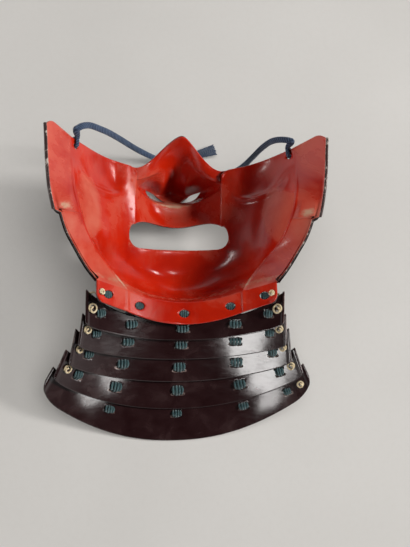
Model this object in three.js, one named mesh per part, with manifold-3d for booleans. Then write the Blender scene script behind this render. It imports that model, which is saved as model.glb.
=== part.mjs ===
// A samurai face guard (menpo) with its throat guard, lying on its face.
//
// Frame, in millimetres: +X across the face, +Y from the chin to the bridge of the nose, +Z up from the
// surface that it lies on, towards the wearer. X = 0 is the plane of symmetry, and Z = 0 is the surface,
// which the tip of the nose and the lowest lame touch. Every plate is given by its inner face, the one
// towards the wearer, and its wall lies on the outer side of that.

import * as THREE from 'three';
import { mergeVertices } from 'three/addons/utils/BufferGeometryUtils.js';
import Module from 'manifold-3d';

const wasm = await Module();
wasm.setup();

// ---------------------------------------------------------------- driving dimensions

const MIDDLE = -34.95; // Y of the middle of the part, in the numbers below
const WALL = 1.8; // iron plate under its lacquer
const LAME_WALL = 1.7;
const GAP = 0.35; // clear space between pieces

// Rows of the mask plate, from 0 at the top edge to 6 at the fold under the chin.
const MOUTH_TOP = 2;
const MOUTH_BOTTOM = 3;
const FOLD = 6;
const NOTCH = 2.42; // row at which the wings end

// Middle of the face: y, z, and the power with which a section rises towards the crease.
const CENTRE = [
  [41, 37, 2.25], // top edge
  [27, 32.5, 2.7], // cheekbones
  [7, 27.5, 2.8], // top of the mouth
  [-8.9, 25, 2.5], // lower lip
  [-25, 17.5, 2.0], // front of the chin
  [-38.5, 23, 1.8], // under the chin
  [-47.6, 44, 1.8], // fold to the flange
];

// Crease between the cheek and the strip along the rear edge, in the same rows: x, y, z.
const CREASE = [
  [70, 50, 66.5],
  [69.7, 27, 70.5],
  [67, 9, 72],
  [60.5, -9, 64.5],
  [52, -20.5, 54.5],
  [44.5, -30, 49.5],
  [36, -42, 53],
];

// Rear edge, inside its rolled rim: x, y, z.
const REAR = [
  [81.3, 53, 86.5],
  [80, 26, 83.5],
  [77.8, 7.5, 79.5],
  [73, -9.5, 74],
  [66.5, -21.5, 69.5],
  [60.5, -31, 66.5],
  [54.5, -38.5, 64],
];
const WING_STEP = 3.2; // the wings stand this far beyond the jaw
const RIM = 2.2; // width of the rolled rim at the wings
const CORNER = 4.5; // rounding of the wing tips

const SEAM = 28.4; // half-width between the seams of the nose piece
const MOUTH_HALF = 33;
const MOUTH_FLOOR_HALF = 25; // where the round mouth corners meet the lower lip
const FLANGE = 13.4; // depth of the flange that carries the throat guard

// Nose piece, from 0 at its top edge to 8 at the upper lip: y and z of its middle, and the row of the
// cheek that its side meets.
const NOSE_WALL = 1.6;
const NOSE = [
  [59.5, 53.5, 0],
  [55, 43, 0.18],
  [49.5, 28.5, 0.36],
  [44.7, 11.9, 0.5],
  [39.8, 1.4, 0.62],
  [32.5, 5.9, 0.72],
  [26, 14.5, 0.84], // base of the nose
  [18, 13.8, 1.35],
  [10.3, 17, 2.0], // upper lip
];
// How the sections rise: 0 for a sharp ridge, 1 for a round bowl; the bowl's power; bow of the lip's edge.
const NOSE_FORM = [
  [0, 1.7, 0],
  [0, 1.7, 0],
  [0, 1.7, 0],
  [0.35, 2.6, 0],
  [0.85, 3.0, 0],
  [1, 3.1, 0],
  [1, 2.8, 0],
  [1, 2.5, 1],
  [1, 2.6, 3],
];
const RIDGE_POWER = 2.6;
const RIDGE_BLUNT = 0.13; // rounding of the ridge along the bridge of the nose
const LAP = 5.6; // how far the nose piece runs on outside the cheeks
const NOSTRIL = { x: 12.2, y: 34.4, half: 8.2, width: 2.4, turn: -0.45 };

// Lames, from the flange down: y and z of the middle of the upper and lower edges, then x, y, z of the
// upper and lower corners.
const LAMES = [
  { top: [-58, 38.5], foot: [-69.8, 34.5], topEnd: [60.8, -43.5, 60], footEnd: [60.8, -64, 54.5] },
  { top: [-67.4, 31], foot: [-80.8, 24.5], topEnd: [62.7, -57, 54.5], footEnd: [65, -76, 45.5] },
  { top: [-78.4, 22], foot: [-94.1, 15], topEnd: [66.5, -65, 47], footEnd: [70.5, -86, 36.5] },
  { top: [-91.2, 12.1], foot: [-110.9, 7], topEnd: [72, -76.5, 40], footEnd: [80, -94, 32] },
  { top: [-107.5, 5], foot: [-130.9, 1.7], topEnd: [79.5, -86, 33], footEnd: [88.5, -101.5, 26] },
];
const LAME_RISE = [2.1, 2.2, 2.3, 2.5, 2.8]; // the powers with which they rise towards their ends
const LAME_CORNER = [0.1, 0.1, 0.1, 0.15, 0.5]; // how much of its depth each lower corner's rounding takes
const TOP_SWEEP = 3.4; // how their upper and lower edges sweep up towards the ends
const FOOT_SWEEP = 2.2;
const LACE_PLACE = [0.42, 0.37, 0.44, 0.42, 0.28]; // how far down each lame its lacing lies
const LACE_DROP = [0, 0, 0, 0.04, 0.3]; // how much farther down at its ends

const LACE_COLUMNS = [-0.855, -0.54, 0, 0.54, 0.855]; // parts of a lame's half-length
const EDGE_COLUMN = 0.942;
const LACE_WIDTHS = [5.4, 7.2, 7.2, 7.2, 5.4];
const LACE = { length: 4.6, thick: 1.1 };
const EDGE_LACE = { width: 2.2, length: 3.6, thick: 0.8 };
const LACE_GAP = 0.6; // clear space over and under the lames
const LACE_SLACK = 0.5; // and round the lace in their slots
const FLANGE_HOLES = [-47.8, -28.3, 0, 28.3, 47.8];
const EDGE_HOLE_X = 52;
const HOLE = { width: 7, length: 5.4 }; // lacing holes in the flange
const EDGE_HOLE = { width: 2.4, length: 3 };
const TURN = 0.8; // how far above a lame's top edge the middle of the lace passes it

const CORD_HOLE = { across: 0.968, row: 0.2, radius: 2 };
const HITCH = { width: 2.6, thick: 1.4 };
const CORD = { radius: 1.3, sides: 8, steps: 26 };
const CORD_LEFT = [
  [-67.7, 54, 69.8],
  [-63.9, 57.3, 67.6],
  [-58.9, 60, 63],
  [-51.4, 61.3, 55],
  [-46.2, 62.2, 48.5],
  [-41, 62.8, 41.5],
  [-36, 63.3, 34.5],
  [-31.4, 63.7, 28],
  [-25.4, 64.2, 20],
  [-19.4, 64.4, 13.5],
  [-14.2, 64.4, 8.6],
  [-10.2, 64.4, 5.6],
  [-6.2, 64.5, 3.7],
  [-2.6, 64.6, 2.8],
];
const CORD_RIGHT = [
  [68.8, 53.4, 69.7],
  [66.4, 54.9, 67.8],
  [63.1, 57, 63.5],
  [60.2, 58.7, 57.5],
  [58.2, 59.3, 51.5],
  [55.9, 59, 43.5],
  [54, 58.2, 35],
  [52.4, 57.5, 27.5],
  [50.5, 56.8, 20],
  [47.6, 56, 12.5],
  [43.2, 55.4, 6.5],
  [37.4, 55.4, 3],
  [31, 56.4, 1.6],
  [25.4, 58.4, 1.5],
  [20, 61.2, 1.8],
  [15, 63.8, 2.8],
];
const KNOT = { centre: [6, 65.6, 3.4], half: [8, 5.6, 3.2] };
const TAIL = { from: [14.4, 68.6, 2.2], length: 19.5, start: 4.6, end: 8, thick: 1.5, turn: 0.3 };
const RIVETS = [0.55, 1.55]; // rows of the rivets that hold the nose piece
const RIVET = { radius: 1.2, head: 2.1, x: 31.4 };

// ---------------------------------------------------------------- materials

const finish = (color, roughness, metalness) =>
  new THREE.MeshStandardMaterial({ color, roughness, metalness });
const redLacquer = finish(0xb4231a, 0.25, 0.1);
const darkLacquer = finish(0x2a1a1c, 0.3, 0.1);
const tealBraid = finish(0x2f5a60, 0.9, 0);
const goldBraid = finish(0xc2a05a, 0.8, 0);
const navyBraid = finish(0x2f3f5c, 0.9, 0);
const darkIron = finish(0x241c1c, 0.5, 0.6);

// ---------------------------------------------------------------- tools

const { clamp, lerp } = THREE.MathUtils;
const vector = (x, y, z) => new THREE.Vector3(x, y, z);
const ramp = (from, to, value) => clamp((value - from) / (to - from), 0, 1);

// A smooth curve through points that stand at the rows 0, 1, 2 and so on.
function throughRows(points) {
  const curve = new THREE.CatmullRomCurve3(points.map((p) => vector(...p)), false, 'catmullrom');
  return (row) => curve.getPoint(clamp(row / (points.length - 1), 0, 1));
}

// Where a surface of two parameters is, which way it faces (towards the wearer) and its two directions.
function frameOn(surface, u, v) {
  const step = 0.004;
  const along = surface(u, v + step).sub(surface(u, v - step)).normalize();
  const across = surface(u + step, v).sub(surface(u - step, v)).normalize();
  const up = across.clone().cross(along).normalize();
  if (up.z < 0) up.negate();
  return { point: surface(u, v), up, along, across: along.clone().cross(up).normalize() };
}

// A closed plate: a grid of points is its inner face, the grid set back by the wall is its outer face,
// and every edge of the kept cells is closed by a wall.
function plate(points, wall, kept = () => true) {
  const rows = points.length;
  const columns = points[0].length;
  const at = (row, column) => row * columns + column;
  const near = (row, column) => points[clamp(row, 0, rows - 1)][clamp(column, 0, columns - 1)];
  const position = [];
  for (let row = 0; row < rows; row++) {
    for (let column = 0; column < columns; column++) position.push(...points[row][column].toArray());
  }
  for (let row = 0; row < rows; row++) {
    for (let column = 0; column < columns; column++) {
      const across = near(row, column + 1).clone().sub(near(row, column - 1));
      const along = near(row + 1, column).clone().sub(near(row - 1, column));
      const back = across.cross(along).normalize();
      if (back.z > 0) back.negate();
      position.push(...points[row][column].clone().addScaledVector(back, wall).toArray());
    }
  }
  const under = rows * columns;
  const index = [];
  const quad = (a, b, c, d) => index.push(a, b, c, a, c, d);
  const isKept = (row, column) =>
    row >= 0 && column >= 0 && row < rows - 1 && column < columns - 1 && kept(row, column);
  for (let row = 0; row < rows - 1; row++) {
    for (let column = 0; column < columns - 1; column++) {
      if (!isKept(row, column)) continue;
      const corners = [at(row, column), at(row + 1, column), at(row + 1, column + 1), at(row, column + 1)];
      const [a, b, c, d] = corners;
      quad(a, b, c, d);
      quad(under + a, under + d, under + c, under + b);
      const wallBelow = (p, q) => quad(q, p, under + p, under + q);
      if (!isKept(row, column - 1)) wallBelow(a, b);
      if (!isKept(row + 1, column)) wallBelow(b, c);
      if (!isKept(row, column + 1)) wallBelow(c, d);
      if (!isKept(row - 1, column)) wallBelow(d, a);
    }
  }
  const geometry = new THREE.BufferGeometry();
  geometry.setAttribute('position', new THREE.Float32BufferAttribute(position, 3));
  geometry.setIndex(index);
  return geometry;
}

// A grid of points on a surface, for lists of its two parameters.
const gridOn = (surface, us, vs) => vs.map((v) => us.map((u) => surface(u, v)));

// Numbers from the first stop to the last, with so many steps between each two stops.
function stops(...list) {
  const out = [list[0]];
  for (let i = 1; i < list.length; i += 2) {
    const from = out[out.length - 1];
    for (let step = 1; step <= list[i]; step++) out.push(lerp(from, list[i + 1], step / list[i]));
  }
  return out;
}

// A geometry with its shared corners merged, while its numbers are still those of its own frame.
function weld(geometry) {
  const bare = geometry.clone();
  bare.deleteAttribute('normal');
  bare.deleteAttribute('uv');
  return mergeVertices(bare, 1e-4);
}

function toSolid(welded) {
  return new wasm.Manifold(
    new wasm.Mesh({
      numProp: 3,
      vertProperties: new Float32Array(welded.attributes.position.array),
      triVerts: new Uint32Array(welded.index.array),
    }),
  );
}

function toGeometry(solid) {
  const mesh = solid.getMesh();
  const geometry = new THREE.BufferGeometry();
  geometry.setAttribute('position', new THREE.BufferAttribute(new Float32Array(mesh.vertProperties), 3));
  geometry.setIndex(new THREE.BufferAttribute(new Uint32Array(mesh.triVerts), 1));
  return geometry;
}

// A shape with its own x, y, z turned to a surface's across, along and up, and moved out by some height.
function setOn(geometry, frame, height = 0) {
  const matrix = new THREE.Matrix4().makeBasis(frame.across, frame.along, frame.up);
  matrix.setPosition(frame.point.clone().addScaledVector(frame.up, height));
  return toSolid(weld(geometry).applyMatrix4(matrix));
}

const cutAll = (solid, cutters) => cutters.reduce((left, cutter) => left.subtract(cutter), solid);

// The main body of a solid, without the scraps that cuts leave beside an edge.
function largest(solid) {
  const bodies = solid.decompose();
  return bodies.reduce((best, body) => (body.volume() > best.volume() ? body : best));
}

const group = new THREE.Group();
function addPiece(name, geometry, material) {
  const mesh = new THREE.Mesh(geometry.translate(0, -MIDDLE, 0), material);
  mesh.name = name;
  group.add(mesh);
}

// ---------------------------------------------------------------- mask plate

const centreAt = throughRows(CENTRE);
const creaseAt = throughRows(CREASE);
const rearAt = throughRows(REAR);

// Half of the face: 0 to 1 runs from the middle to the crease, 1 to 2 on to the rear edge, 2 to 3 is the rim.
function cheek(across, row) {
  const middle = centreAt(row);
  const crease = creaseAt(row);
  if (across <= 1) {
    const y = lerp(middle.x, crease.y, across ** 2);
    const z = lerp(middle.y, crease.z, Math.abs(across) ** middle.z);
    return vector(across * crease.x, y - seamCorner(across * crease.x, row), z);
  }
  const wing = 1 - ramp(NOTCH, NOTCH + 0.08, row);
  const rear = rearAt(row).add(vector(WING_STEP * wing, 0, 0.25 * WING_STEP * wing));
  const strip = Math.min(across - 1, 1);
  const point = crease.clone().lerp(rear, strip);
  point.y -= CORNER * (1 - ramp(0, 0.5, row)) * ramp(0.7, 1, strip) ** 2;
  const rim = RIM * (0.6 + 0.4 * wing) * (1 - ramp(5.4, FOLD, row)) * Math.max(across - 2, 0);
  return point.add(vector(rim, 0, 0.1 * rim));
}

// The cheek plates' top corners at the seams are rounded off.
const seamCorner = (x, row) => 3 * (1 - ramp(0, 0.4, row)) * (1 - ramp(SEAM, SEAM + 5, x)) ** 2;

// Half-width of the opening for the nose and mouth at a row.
function openingHalf(row) {
  if (row <= MOUTH_TOP) return SEAM;
  const depth = clamp((row - MOUTH_TOP) / (MOUTH_BOTTOM - MOUTH_TOP), 0, 1) * 2 - 1;
  return lerp(MOUTH_FLOOR_HALF, MOUTH_HALF, Math.sqrt(Math.max(1 - depth ** 2, 0)) ** 0.8);
}

// Rows past the fold run out along the flange, one row deep.
function maskSurface(across, row) {
  const point = cheek(Math.min(across, row > FOLD ? 2 : 3), Math.min(row, FOLD));
  if (row <= FOLD) return point;
  const out = row - FOLD;
  const corner = 2.5 * ramp(0.6, 1, out) ** 2 * ramp(1.8, 2, across);
  return point.add(vector(-corner, -(FLANGE - 1.8 * (point.x / 54) ** 2) * out, -0.6 * out));
}

const maskRows = [
  ...stops(0, 1, 0.15, 1, 0.35, 5, MOUTH_TOP, 2, 2.25, 1, NOTCH, 1, NOTCH + 0.08, 2, MOUTH_BOTTOM, 9, FOLD),
  ...stops(FOLD, 2, FOLD + 1).slice(1),
];
const halfColumns = stops(0, 4, 1, 7, 2, 3, 3, 1, 4);
const maskColumns = [...halfColumns.slice(1).reverse().map((c) => -c), ...halfColumns];

// Column 0 to 1 spans the opening, 1 to 2 the cheek, 2 to 3 the strip and 3 to 4 the rim.
function maskPoint(column, row) {
  const c = Math.abs(column);
  const edge = openingHalf(row) / creaseAt(row).x;
  const across = c <= 1 ? c * edge : c <= 2 ? lerp(edge, 1, c - 1) : c - 1;
  const point = maskSurface(across, row);
  return column < 0 ? point.setX(-point.x) : point;
}

const maskGrid = gridOn(maskPoint, maskColumns, maskRows);
const inOpening = (row, column) =>
  maskRows[row + 1] <= MOUTH_BOTTOM + 1e-6 && Math.abs(maskColumns[column] + maskColumns[column + 1]) < 2;
const rimEnd = (row, column) =>
  maskRows[row] >= 5.9 && Math.abs(maskColumns[column] + maskColumns[column + 1]) > 6;
const maskKept = (row, column) => !inOpening(row, column) && !rimEnd(row, column);

const mirrored = (surface, side) => (u, v) => {
  const point = surface(u, v);
  return point.setX(point.x * side);
};
function flangeFrame(x) {
  const reach = creaseAt(FOLD).x;
  const beyond = Math.max(Math.abs(x) - reach, 0) / (rearAt(FOLD).x - reach);
  const across = Math.min(Math.abs(x) / reach, 1) + beyond;
  return frameOn(mirrored(maskSurface, Math.sign(x) || 1), across, FOLD + 0.52);
}

const ovalHole = (width, length) => {
  const hole = new THREE.CylinderGeometry(1, 1, 8, 16);
  return hole.rotateX(Math.PI / 2).scale(width / 2, length / 2, 1);
};

const cordFrame = (side) => frameOn(mirrored(cheek, side), CORD_HOLE.across, CORD_HOLE.row);
const rivetFrame = (side, row) => frameOn(mirrored(cheek, side), RIVET.x / creaseAt(row).x, row);
const sides = [-1, 1];
const rivetFrames = sides.flatMap((side) => RIVETS.map((row) => rivetFrame(side, row)));
const rivetBore = 2 * (RIVET.radius + GAP);
const rivetHoles = rivetFrames.map((frame) => setOn(ovalHole(rivetBore, rivetBore), frame));

const maskHoles = [
  ...FLANGE_HOLES.map((x) => setOn(ovalHole(HOLE.width, HOLE.length), flangeFrame(x))),
  ...sides.map((side) => setOn(ovalHole(EDGE_HOLE.width, EDGE_HOLE.length), flangeFrame(side * EDGE_HOLE_X))),
  ...sides.map((side) => setOn(ovalHole(2 * CORD_HOLE.radius, 2 * CORD_HOLE.radius), cordFrame(side))),
  ...rivetHoles,
];
const maskSolid = toSolid(plate(maskGrid, WALL, maskKept));
addPiece('mask_plate', toGeometry(cutAll(maskSolid, maskHoles)), redLacquer);

// ---------------------------------------------------------------- nose piece

const noseAt = throughRows(NOSE);
const noseFormAt = throughRows(NOSE_FORM);

// Half of the nose piece: 0 to 1 runs from the middle to the seam, 1 to 2 is the lap outside the cheek.
function noseHalf(across, station) {
  const middle = noseAt(station);
  const form = noseFormAt(station);
  const row = Math.max(middle.z, 0.005);
  const x = SEAM + LAP * Math.max(across - 1, 0);
  const side = frameOn(plainCheek, x / creaseAt(row).x, row);
  const lap = side.point.addScaledVector(side.up, -(WALL + GAP));
  if (across >= 1) return lap;
  const blunt = (a) => Math.sqrt(a ** 2 + RIDGE_BLUNT ** 2) - RIDGE_BLUNT;
  const round = blunt(across) / blunt(1);
  const ridge = 1 - (1 - round) ** RIDGE_POWER;
  const rise = lerp(ridge, across ** form.y, form.x);
  const run = lerp(across ** 2 * (3 - 2 * across), across ** 2, form.x);
  const bow = form.z * 4 * across ** 2 * (1 - across ** 2);
  return vector(lap.x * across, lerp(middle.x, lap.y, run) + bow, lerp(middle.y, lap.z, rise));
}

// The cheek as it would be without its rounded corner, which the nose piece runs on behind.
function plainCheek(across, row) {
  const point = cheek(across, row);
  point.y += seamCorner(point.x, row);
  return point;
}

const nosePoint = (column, station) => {
  const point = noseHalf(Math.abs(column), station);
  return column < 0 ? point.setX(-point.x) : point;
};
const noseColumns = stops(-2, 1, -1, 8, 0, 8, 1, 1, 2);
const noseSolid = toSolid(plate(gridOn(nosePoint, noseColumns, stops(0, 14, 8)), NOSE_WALL));

// A nostril is a slanted almond, between two arcs that meet in points.
function nostrilCutter(side) {
  const almond = new THREE.Shape();
  almond.moveTo(-NOSTRIL.half, 0);
  almond.quadraticCurveTo(0, 2 * NOSTRIL.width, NOSTRIL.half, 0);
  almond.quadraticCurveTo(0, -2 * NOSTRIL.width, -NOSTRIL.half, 0);
  const prism = new THREE.ExtrudeGeometry(almond, { depth: 60, bevelEnabled: false, curveSegments: 6 });
  const cutter = weld(prism);
  cutter.rotateZ(-side * NOSTRIL.turn).translate(side * NOSTRIL.x, NOSTRIL.y, -20);
  return toSolid(cutter);
}
const noseCut = cutAll(noseSolid, [...sides.map(nostrilCutter), ...rivetHoles]);
addPiece('nose_piece', toGeometry(noseCut), redLacquer);

// Plain rivets through both plates, flush inside and domed outside.
function rivet(frame) {
  const outside = WALL + GAP + NOSE_WALL;
  const shank = new THREE.CylinderGeometry(RIVET.radius, RIVET.radius, outside + 0.6, 8);
  shank.rotateX(Math.PI / 2).translate(0, 0, -(outside + 0.6) / 2);
  const head = new THREE.CylinderGeometry(RIVET.head, RIVET.head * 0.6, 0.9, 8);
  head.rotateX(Math.PI / 2).translate(0, 0, -(outside + GAP + 0.45));
  return toGeometry(setOn(shank, frame).add(setOn(head, frame)));
}
rivetFrames.forEach((frame, i) => addPiece(`nose_rivet_${i + 1}`, rivet(frame), darkIron));

// ---------------------------------------------------------------- lames

// A lame: across runs from -1 to 1 along it, down from 0 at its upper edge to 1 at its lower edge.
const lameSurfaces = LAMES.map(({ top, foot, topEnd, footEnd }, i) => (across, down) => {
  const reach = Math.abs(across);
  down *= 1 - LAME_CORNER[i] * (1 - Math.sqrt(1 - ramp(0.86, 1, reach) ** 2));
  const x = across * lerp(topEnd[0], footEnd[0], down);
  const sweep = reach ** lerp(TOP_SWEEP, FOOT_SWEEP, clamp(down, 0, 1));
  const y = lerp(lerp(top[0], foot[0], down), lerp(topEnd[1], footEnd[1], down), sweep);
  const z = lerp(lerp(top[1], foot[1], down), lerp(topEnd[2], footEnd[2], down), reach ** LAME_RISE[i]);
  return vector(x, y, z);
});

// Where the lacing crosses a lame.
function laceFrame(lame, column) {
  const drop = LACE_DROP[lame] * ramp(0.5, EDGE_COLUMN, Math.abs(column)) ** 2;
  return frameOn(lameSurfaces[lame], column, LACE_PLACE[lame] + drop);
}

// A place by a frame: its middle, and the direction across.
const spot = ({ point, along, up, across }, down, height) => ({
  middle: point.clone().addScaledVector(along, down).addScaledVector(up, height),
  across,
});

// A strip of some width, whose side view is an outline of spots with holes of spots.
function stripSolid(outline, holes, width) {
  const rings = [outline, ...holes];
  const flat = rings.map((ring) => ring.map(({ middle }) => new THREE.Vector2(-middle.y, middle.z)));
  const faces = THREE.ShapeUtils.triangulateShape(flat[0], flat.slice(1));
  const all = rings.flat();
  const side = (sign) =>
    all.flatMap(({ middle, across }) => middle.clone().addScaledVector(across, (sign * width) / 2).toArray());
  const far = all.length;
  const index = faces.flatMap(([a, b, c]) => [a, c, b, far + a, far + b, far + c]);
  const edges = faces.flatMap(([a, b, c]) => [[a, b], [b, c], [c, a]]);
  const known = new Set(edges.map(String));
  for (const [a, b] of edges) {
    if (!known.has(`${b},${a}`)) index.push(a, b, far + a, b, far + b, far + a);
  }
  const geometry = new THREE.BufferGeometry();
  geometry.setAttribute('position', new THREE.Float32BufferAttribute([...side(-1), ...side(1)], 3));
  geometry.setIndex(index);
  return toSolid(geometry);
}

// The lace runs down the outer faces, and through two slots of each lame to its inner face. Grown all
// round, the same solid is what the lames are cut with.
function laceColumn(column, size, flange, grow = 0) {
  const reach = size.length / 2;
  const half = reach + grow;
  const face = grow - (LAME_WALL + LACE_GAP);
  const back = face - size.thick - 2 * grow;
  const inner = half - size.thick - 2 * grow;
  const pad = LACE_GAP + size.thick + grow;
  const inside = [spot(flange, 0, grow - (WALL + GAP))];
  const outside = [spot(flange, 0, -(WALL + GAP) - size.thick - grow)];
  const holes = [];
  lameSurfaces.forEach((surface, i) => {
    const frame = laceFrame(i, column);
    const edge = { ...frame, point: surface(column, 0) };
    inside.push(spot(edge, grow - TURN, face), spot(frame, -half, face), spot(frame, -half, pad));
    inside.push(spot(frame, half, pad), spot(frame, half, face));
    outside.push(spot(edge, -TURN - grow, back), spot(frame, -reach, back), spot(frame, reach, back));
    const under = LACE_GAP - grow;
    const ring = [[-inner, face], [inner, face], [inner, under], [-inner, under]];
    holes.push(ring.map(([down, height]) => spot(frame, down, height)));
  });
  return stripSolid([...inside, ...outside.reverse()], holes, size.width + 2 * grow);
}

const tealColumns = LACE_COLUMNS.map((column, i) => ({
  name: `lacing_${i + 1}`,
  column,
  size: { ...LACE, width: LACE_WIDTHS[i] },
  hole: HOLE,
  flange: flangeFrame(FLANGE_HOLES[i]),
  material: tealBraid,
}));
const goldColumns = sides.map((side) => ({
  name: `edge_lacing_${side < 0 ? 'left' : 'right'}`,
  column: side * EDGE_COLUMN,
  size: EDGE_LACE,
  hole: EDGE_HOLE,
  flange: flangeFrame(side * EDGE_HOLE_X),
  material: goldBraid,
}));
const COLUMNS = [...tealColumns, ...goldColumns];
const laceCutters = COLUMNS.map(({ column, size, flange }) => laceColumn(column, size, flange, LACE_SLACK));

lameSurfaces.forEach((surface, i) => {
  const solid = toSolid(plate(gridOn(surface, stops(-1, 4, -0.86, 16, 0.86, 4, 1), stops(0, 2, 1)), LAME_WALL));
  addPiece(`lame_${i + 1}`, toGeometry(largest(cutAll(solid, laceCutters))), darkLacquer);
});

// ---------------------------------------------------------------- lacing

// The lace fills its hole in the flange with a low dome.
function flangeButton(frame, width, length, size) {
  const depth = WALL + 2 * GAP + size.thick;
  const plug = new THREE.CylinderGeometry(1, 1, depth, 10);
  plug.rotateX(Math.PI / 2).scale(width / 2 - GAP, length / 2 - GAP, 1);
  return setOn(plug, frame, 0.5 - depth / 2);
}

for (const { name, column, size, hole, flange, material } of COLUMNS) {
  const button = flangeButton(flange, hole.width, hole.length, size);
  const lace = largest(laceColumn(column, size, flange).add(button));
  addPiece(name, toGeometry(lace), material);
}

// ---------------------------------------------------------------- face cord

// A hitch runs through the cord hole and round the top edge of the cheek.
const edgeFrame = (side) => frameOn(mirrored(cheek, side), CORD_HOLE.across, 0.005);
function hitch(side) {
  const frame = cordFrame(side);
  const toEdge = edgeFrame(side).point.distanceTo(frame.point);
  const box = (path, back, front, low, high) => {
    path.moveTo(back, low).lineTo(front, low).lineTo(front, high).lineTo(back, high).closePath();
    return path;
  };
  const { thick, width } = HITCH;
  const low = -(WALL + GAP);
  const edge = -(toEdge + 2.5 * GAP);
  const ring = box(new THREE.Shape(), edge - thick, thick / 2, low - thick, GAP + thick);
  ring.holes.push(box(new THREE.Path(), edge, -thick / 2, low, GAP));
  const solid = weld(new THREE.ExtrudeGeometry(ring, { depth: width, bevelEnabled: false }));
  const turned = new THREE.Matrix4().makeBasis(frame.along, frame.up, frame.across);
  const corner = frame.point.clone().addScaledVector(frame.across, -width / 2);
  return solid.applyMatrix4(turned.setPosition(corner));
}
sides.forEach((side) => addPiece(`cord_hitch_${side < 0 ? 'left' : 'right'}`, hitch(side), navyBraid));

// A cord is a plain round tube along its route.
function cordTube(route) {
  const section = new THREE.Shape();
  section.absarc(0, 0, CORD.radius, 0, 2 * Math.PI);
  const path = new THREE.CatmullRomCurve3(route.map((p) => vector(...p)), false, 'centripetal');
  const shape = new THREE.Shape(section.getPoints(CORD.sides / 2).slice(0, -1));
  const sweep = { steps: CORD.steps, bevelEnabled: false, extrudePath: path };
  return weld(new THREE.ExtrudeGeometry(shape, sweep));
}
addPiece('face_cord_left', cordTube(CORD_LEFT), navyBraid);
addPiece('face_cord_right', cordTube(CORD_RIGHT), navyBraid);

const knot = weld(new THREE.SphereGeometry(1, 14, 8));
addPiece('cord_knot', knot.scale(...KNOT.half).translate(...KNOT.centre), navyBraid);

// The tail is a flat strip that widens to its cut end.
const strip = new THREE.Shape();
strip.moveTo(0, -TAIL.start / 2).lineTo(TAIL.length, -TAIL.end / 2);
strip.lineTo(TAIL.length, TAIL.end / 2).lineTo(0, TAIL.start / 2).closePath();
const tail = weld(new THREE.ExtrudeGeometry(strip, { depth: TAIL.thick, bevelEnabled: false }));
addPiece('cord_tail', tail.rotateZ(TAIL.turn).translate(...TAIL.from), navyBraid);

export default group;
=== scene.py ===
import math

import bpy
import numpy as np
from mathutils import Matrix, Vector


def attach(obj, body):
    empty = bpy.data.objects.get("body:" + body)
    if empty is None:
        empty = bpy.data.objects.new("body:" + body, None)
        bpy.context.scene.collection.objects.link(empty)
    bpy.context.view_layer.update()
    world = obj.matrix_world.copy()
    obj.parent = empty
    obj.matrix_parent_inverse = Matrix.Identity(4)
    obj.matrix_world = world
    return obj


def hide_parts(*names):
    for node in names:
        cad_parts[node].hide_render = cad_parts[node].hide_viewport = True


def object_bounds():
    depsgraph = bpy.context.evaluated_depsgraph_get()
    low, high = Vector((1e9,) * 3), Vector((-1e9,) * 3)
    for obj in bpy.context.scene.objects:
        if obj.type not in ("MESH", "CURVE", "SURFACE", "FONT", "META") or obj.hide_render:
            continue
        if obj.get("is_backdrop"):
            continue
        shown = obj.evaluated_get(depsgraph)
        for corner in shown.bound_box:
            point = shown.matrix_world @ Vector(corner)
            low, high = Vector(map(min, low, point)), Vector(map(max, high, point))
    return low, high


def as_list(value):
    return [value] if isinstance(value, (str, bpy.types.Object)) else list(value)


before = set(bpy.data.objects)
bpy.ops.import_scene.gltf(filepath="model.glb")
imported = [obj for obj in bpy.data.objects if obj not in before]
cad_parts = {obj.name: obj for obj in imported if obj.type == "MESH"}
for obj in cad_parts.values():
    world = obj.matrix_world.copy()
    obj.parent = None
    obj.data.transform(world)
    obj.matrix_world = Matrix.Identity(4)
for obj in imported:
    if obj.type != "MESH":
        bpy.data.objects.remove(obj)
cad_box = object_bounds()

# A samurai face guard (menpo) with its throat guard, lying on its face: the view is into its lacquered
# inside. Lengths are in millimetres until a mesh is made. +X runs across the face, +Y from the chin to
# the bridge of the nose, and +Z up, towards the wearer.

MM = 0.001
MIDDLE = -34.95  # Y of the middle of the part
SIDES = (-1, 1)  # left and right

# ---- numbers of the plates

WALL, NOSE_WALL, LAME_WALL = 1.8, 1.6, 1.7
GAP = 0.35  # between pieces
EDGE_SWELL, EDGE_STEPS = 0.35, 4  # how far a plate's rounded edge stands out, and its facets

# Rows of the mask plate: the top and the bottom of the mouth, the fold under the chin, and where the
# wings end.
MOUTH_TOP, MOUTH_BOTTOM, FOLD, NOTCH = 2, 3, 6, 2.42

# The mask plate at rows 0 to 6. Its middle: y, z and the power of the rise. Crease and rear edge: x, y, z.
CENTRE = [[41, 37, 2.25], [27, 32.5, 2.7], [7, 27.5, 2.8], [-8.9, 25, 2.5], [-25, 17.5, 2.0],
          [-38.5, 23, 1.8], [-47.6, 44, 1.8]]
CREASE = [[70, 50, 66.5], [69.7, 27, 70.5], [67, 9, 72], [60.5, -9, 64.5], [52, -20.5, 54.5],
          [44.5, -30, 49.5], [36, -42, 53]]
REAR = [[81.3, 53, 86.5], [80, 26, 83.5], [77.8, 7.5, 79.5], [73, -9.5, 74], [66.5, -21.5, 69.5],
        [60.5, -31, 66.5], [54.5, -38.5, 64]]
WING_STEP = 3.2  # the wings stand this far beyond the jaw
RIM = 2.2  # width of the rolled rim at the wings
CORNER = 4.5  # rounding of the wing tips
SEAM, MOUTH_HALF, MOUTH_FLOOR_HALF = 28.4, 33, 25  # half-widths of the nose opening and of the mouth
FLANGE = 13.4  # depth of the flange that carries the throat guard

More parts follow.
